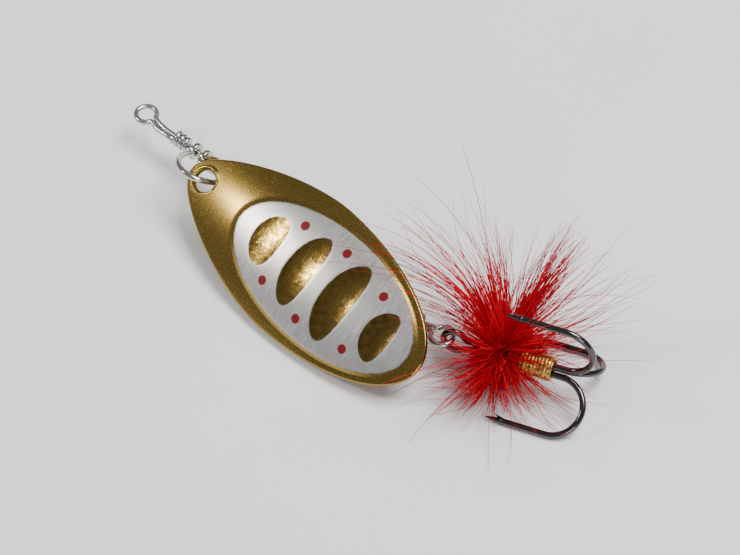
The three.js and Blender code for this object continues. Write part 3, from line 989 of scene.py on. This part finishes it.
def heading(angle, lean):
    """Unit vector, angle degrees round the shank from +Y and lean degrees from its direction."""
    a, b = math.radians(angle), math.radians(lean)
    return Vector((math.cos(b), math.sin(b) * math.cos(a), math.sin(b) * math.sin(a)))


def strand(rng, way, length, curl, sweep):
    """Points of one strand in the treble's frame: out along its way, bending as it goes. It ends
    early where it would meet the blade or reach further than the hair may."""
    steps = STRAND_KNOTS + round(length / KNOT_STEP)
    side = way.orthogonal().normalized()
    side.rotate(Matrix.Rotation(rng.uniform(0, 2 * math.pi), 3, way))
    splay = Vector((math.copysign(HAIR_SPLAY, way.x), 0, -HAIR_SAG))
    bend = side * curl + splay + heading(HAIR_TOP, 90) * sweep
    step = length / steps
    root = around(HAIR_ROOT_X + rng.uniform(-ROOT_SCATTER, ROOT_SCATTER), 0, 0)
    points = [root + way * ROOT_R]
    way = way.copy()
    for _ in range(steps):
        wander = Vector([rng.gauss(0, 1) for _ in range(3)]) * HAIR_WANDER
        way = (way + bend * step + wander).normalized()
        point = points[-1] + way * step
        lowest = floor_z + HAIR_R + FLOOR_PLAY * rng.random()
        if point.z < lowest:
            point.z = lowest
            way.z = abs(way.z) * FLOOR_BOUNCE
        placed = treble_place @ point
        outside = any(not low < v < high for low, v, high in zip(hair_low, placed, hair_high))
        if (outside or near_blade(placed)) and len(points) > LEAST_KNOTS:
            break
        points.append(point)
    return points


def hair_piece(name, strands, material, node):
    """A mesh of thin strands. The strand attribute holds each one's shade and place along it."""
    verts, faces, notes = [], [], []
    for points, radius, shade in strands:
        first = len(verts)
        last = len(points) - 1
        normal = (points[1] - points[0]).orthogonal().normalized()
        for i, point in enumerate(points):
            tangent = (points[min(i + 1, last)] - points[max(i - 1, 0)]).normalized()
            normal = (normal - tangent * normal.dot(tangent)).normalized()
            across = tangent.cross(normal)
            r = radius * (1 - HAIR_TAPER * (i / last) ** 2)
            for k in range(HAIR_SIDES):
                a = 2 * math.pi * k / HAIR_SIDES
                rim = point + (across * math.cos(a) + normal * math.sin(a)) * r
                verts.append((treble_place @ rim) * MM)
                notes.append((shade, i / last, 0.0))
        for i in range(last):
            for k in range(HAIR_SIDES):
                a, b = first + i * HAIR_SIDES + k, first + i * HAIR_SIDES + (k + 1) % HAIR_SIDES
                faces.append((a, b, b + HAIR_SIDES, a + HAIR_SIDES))
        faces.append(tuple(first + k for k in reversed(range(HAIR_SIDES))))
        faces.append(tuple(first + last * HAIR_SIDES + k for k in range(HAIR_SIDES)))
    mesh = bpy.data.meshes.new(name)
    mesh.from_pydata(verts, [], faces)
    attribute = mesh.attributes.new("strand", "FLOAT_VECTOR", "POINT")
    attribute.data.foreach_set("vector", np.ravel(notes))
    add_piece(name, mesh, material, "treble", [node])


def build_hair(material):
    """Stands of hair side by side round the thread head, longest at the top, with tight locks
    among them."""
    rng = random.Random(SEED)
    first, span = HAIR_FAN
    least, most = HAIR_LEANS
    stands = [[] for _ in range(HAIR_STANDS)]

    def grow(angle, lean, length, curl, thickness, sweep=0.0):
        number = int(HAIR_STANDS * ((angle - first) % 360) / span)
        points = strand(rng, heading(angle, min(most, max(least, lean))), length, curl, sweep)
        stands[min(number, HAIR_STANDS - 1)].append((points, HAIR_R * thickness, rng.random()))

    for count, lean, spread, shortest, longest, usual, curl, thickness in GROWTHS:
        for _ in range(count * HAIR_STANDS):
            angle = first + span * rng.random()
            top = 0.5 + 0.5 * math.cos(math.radians(angle - HAIR_TOP))
            length = rng.triangular(shortest, longest, usual)
            length *= 1 - LONG_AT_TOP + LONG_AT_TOP * top
            grow(angle, rng.gauss(lean, spread), length, rng.gauss(0, curl),
                 thickness * rng.uniform(*GROWTH_THICKNESS))
    for angle, lean, spread, count, shortest, longest, sweep in LOCKS:
        for _ in range(count):
            length = rng.uniform(shortest, longest)
            grow(rng.gauss(angle, spread), rng.gauss(lean, spread * LOCK_LEAN_SPREAD), length,
                 rng.gauss(0, LOCK_CURL), rng.uniform(*LOCK_THICKNESS), sweep)
    for number, strands in enumerate(stands):
        node = f"hair_tuft_{number + 1}"
        hair_piece(node + "_strands", strands, material, node)


# ---------------------------------------------------------------- scene
make_camera()
make_lights()
make_floor(floor_material())

brass = plated("brass", BRASS, BRASS_WORN, BRASS_GLOSS)
black = plated("black_nickel", BLACK, BLACK_WORN, BLACK_GLOSS)
build_shaft(drawn_wire("steel_wire", STEEL, STEEL_SHADE, STEEL_GLOSS))
build_clevis(plated("nickel", NICKEL, NICKEL_WORN, NICKEL_GLOSS))
build_blade(blade_material())
build_beads(brass, red_glass())
build_body(brass)
build_treble(black, thread_material(), tinsel_material())
build_hair(hair_material())
